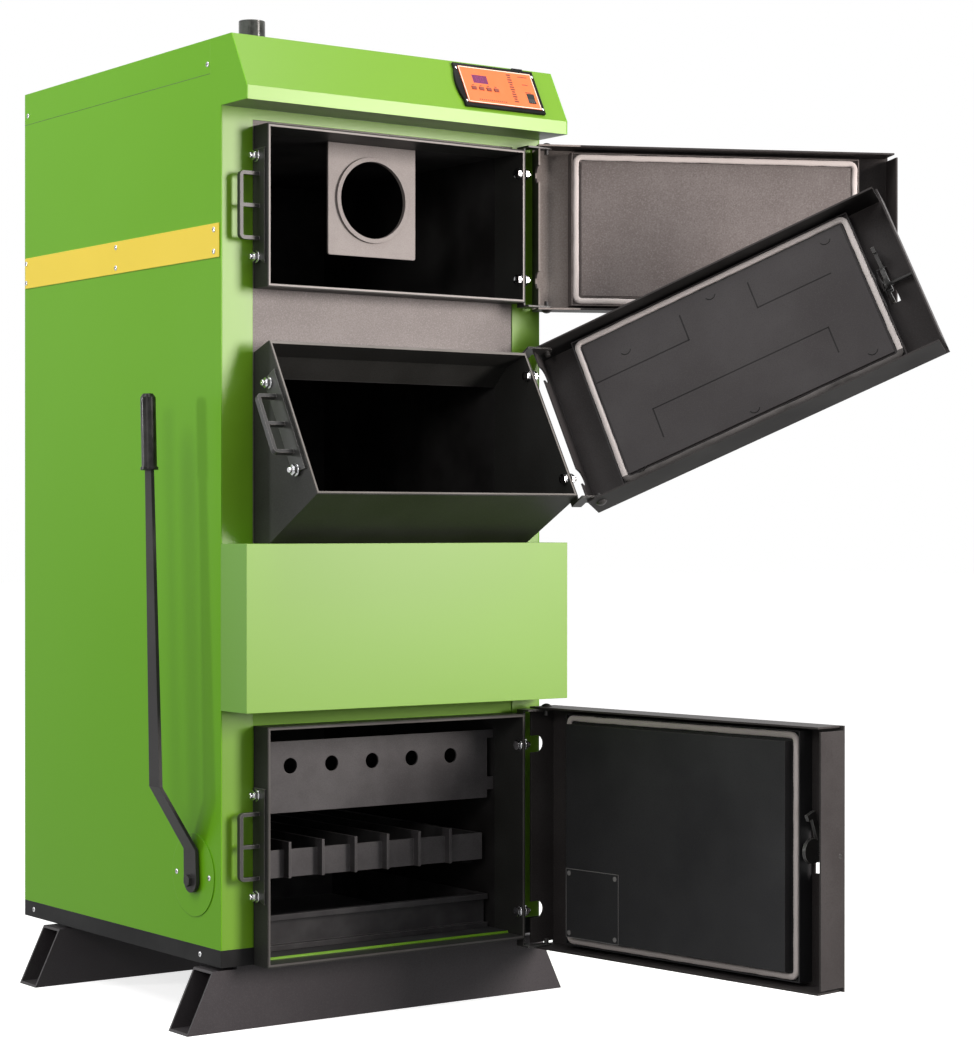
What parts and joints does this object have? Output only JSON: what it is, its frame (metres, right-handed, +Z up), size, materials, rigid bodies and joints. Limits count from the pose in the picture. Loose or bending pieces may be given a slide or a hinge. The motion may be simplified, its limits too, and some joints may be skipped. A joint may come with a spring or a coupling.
{
  "type": "coal boiler",
  "caption": "Floor-standing solid-fuel boiler with hinged doors, a sloping loading chute, a shaker lever and a control panel.",
  "frame": {"origin": "middle of the front foot's sole, on the floor", "axes": "+Z up, +Y towards the rear, +X towards the door hinges; the doors face -Y"},
  "size_m": [1.2853, 1.4491, 1.728],
  "materials": {
    "green_panel": "satin yellow-green powder coat",
    "foot_paint": "dark grey enamel",
    "base_black": "black enamel",
    "raw_steel": "bare mill-finish boiler plate",
    "chamber_paint": "matt heat-proof black",
    "collar_enamel": "dark grey enamel over plate",
    "bare_plate": "pale bare steel",
    "fire_iron": "dark grey heat-proof steel",
    "bolt_steel": "zinc plated",
    "bracket_black": "black enamel",
    "wool": "mineral wool",
    "controller_grey": "dark moulded plastic",
    "controller_face": "satin orange film",
    "display": "glossy violet window",
    "key": "pale keys",
    "rocker": "glossy black",
    "band_yellow": "yellow enamel",
    "pipe": "bare steel pipe",
    "blower_case": "cast alloy",
    "motor_black": "black motor enamel",
    "door_paint": "dark grey enamel",
    "liner_grey": "sanded grey plate",
    "liner_black": "matt black plate",
    "rope": "glass fibre rope",
    "grip_black": "black moulded grip on a steel bar",
    "lever_bar": "dark grey enamel bar",
    "lever_grip_black": "black moulded rubber"
  },
  "bodies": {
    "root": {"front_foot": "foot_paint", "rear_foot": "foot_paint", "base_tray": "base_black", "left_panel": "green_panel", "right_panel": "green_panel", "rear_panel": "green_panel", "front_frame": "green_panel", "roof_cover": "green_panel", "hood": "green_panel", "fascia_cover": "green_panel", "insulation": "wool", "boiler_shell": "raw_steel", "fuel_chamber": "chamber_paint", "flue_plate": "bare_plate", "flue_spigot": "pipe", "upper_collar": "collar_enamel", "loading_chute": "collar_enamel", "lower_collar": "collar_enamel", "air_plate": "fire_iron", "grate_bearers": "chamber_paint", "controller_housing": "controller_grey", "controller_plate": "controller_face", "display_window": "display", "side_band": "band_yellow", "supply_stub": "pipe", "return_stub": "pipe", "drain_socket": "pipe", "door_catches": "bracket_black", "hinge_brackets": "bracket_black", "bracket_bolts": "bolt_steel", "hinge_pins": "bolt_steel", "lever_cover": "green_panel", "casing_screws": "bolt_steel", "blower_housing": "blower_case", "blower_motor": "motor_black"},
    "blower_wheel": {"blower_wheel": "blower_case"},
    "rocking_grate": {"rocking_grate": "fire_iron"},
    "ash_pan": {"ash_pan": "fire_iron"},
    "shaker_lever": {"shaker_lever": "lever_bar", "lever_grip": "lever_grip_black"},
    "rocker_switch": {"rocker_switch": "rocker"},
    "button_1": {"button_1": "key"},
    "button_2": {"button_2": "key"},
    "button_3": {"button_3": "key"},
    "button_4": {"button_4": "key"},
    "upper_door": {"upper_door_tray": "door_paint", "upper_door_liner": "liner_grey", "upper_door_rope": "rope"},
    "upper_latch_handle": {"upper_handle": "grip_black", "upper_hook": "bolt_steel"},
    "middle_door": {"middle_door_tray": "door_paint", "middle_door_liner": "liner_black", "middle_door_rope": "rope"},
    "middle_latch_handle": {"middle_handle": "grip_black", "middle_hook": "bolt_steel"},
    "lower_door": {"lower_door_tray": "door_paint", "lower_door_liner": "liner_black", "lower_door_rope": "rope"},
    "lower_latch_handle": {"lower_handle": "grip_black", "lower_hook": "bolt_steel"}
  },
  "joints": [
    {"name": "middle_door_hinge", "type": "hinge", "parent": "root", "child": "middle_door", "pos_m": [0.304, -0.15759, 0.98805], "axis": [0, 0.5046, 0.8634], "range_deg": [-125.8, 0]},
    {"name": "upper_door_hinge", "type": "hinge", "parent": "root", "child": "upper_door", "pos_m": [0.304, -0.0825, 1.32975], "axis": [0, 0, 1], "range_deg": [-153.7, 0]},
    {"name": "lower_door_hinge", "type": "hinge", "parent": "root", "child": "lower_door", "pos_m": [0.304, -0.0825, 0.2935], "axis": [0, 0, 1], "range_deg": [-97.4, 55]},
    {"name": "upper_latch", "type": "hinge", "parent": "upper_door", "child": "upper_latch_handle", "pos_m": [0.83548, -0.31617, 1.32975], "axis": [0.8965, -0.4431, 0], "range_deg": [0, 70]},
    {"name": "middle_latch", "type": "hinge", "parent": "middle_door", "child": "middle_latch_handle", "pos_m": [0.66436, -0.55061, 1.21773], "axis": [0.585, -0.7003, 0.4092], "range_deg": [0, 70]},
    {"name": "lower_latch", "type": "hinge", "parent": "lower_door", "child": "lower_latch_handle", "pos_m": [0.40448, -0.65432, 0.2985], "axis": [0.1288, -0.9917, 0], "range_deg": [0, 70]},
    {"name": "shaker_lever_pivot", "type": "hinge", "parent": "root", "child": "shaker_lever", "pos_m": [-0.327, 0.0425, 0.238], "axis": [1, 0, 0], "range_deg": [-18, 18]},
    {"name": "grate_slide", "type": "slide", "parent": "root", "child": "rocking_grate", "axis": [0, -1, 0], "range_m": [-0.0085, 0.0085]},
    {"name": "ash_pan_slide", "type": "slide", "parent": "root", "child": "ash_pan", "axis": [0, -1, 0], "range_m": [0, 0.35]},
    {"name": "rocker_switch_tilt", "type": "hinge", "parent": "root", "child": "rocker_switch", "pos_m": [0.2505, -0.10706, 1.54342], "axis": [1, 0, 0], "range_deg": [-8, 8]},
    {"name": "button_1_press", "type": "slide", "parent": "root", "child": "button_1", "axis": [0, 0.8822, -0.4708], "range_m": [0, 0.0008], "stiffness_N_per_m": 200},
    {"name": "button_2_press", "type": "slide", "parent": "root", "child": "button_2", "axis": [0, 0.8822, -0.4708], "range_m": [0, 0.0008], "stiffness_N_per_m": 200},
    {"name": "button_3_press", "type": "slide", "parent": "root", "child": "button_3", "axis": [0, 0.8822, -0.4708], "range_m": [0, 0.0008], "stiffness_N_per_m": 200},
    {"name": "button_4_press", "type": "slide", "parent": "root", "child": "button_4", "axis": [0, 0.8822, -0.4708], "range_m": [0, 0.0008], "stiffness_N_per_m": 200},
    {"name": "blower_spin", "type": "hinge", "parent": "root", "child": "blower_wheel", "pos_m": [0, -0.0695, 0.64], "axis": [0, 1, 0], "continuous": true}
  ],
  "couplings": [
    {"joint": "upper_door_hinge", "follows": "middle_door_hinge", "ratio": 0.95},
    {"joint": "grate_slide", "follows": "shaker_lever_pivot", "m_per_rad": 0.026}
  ]
}
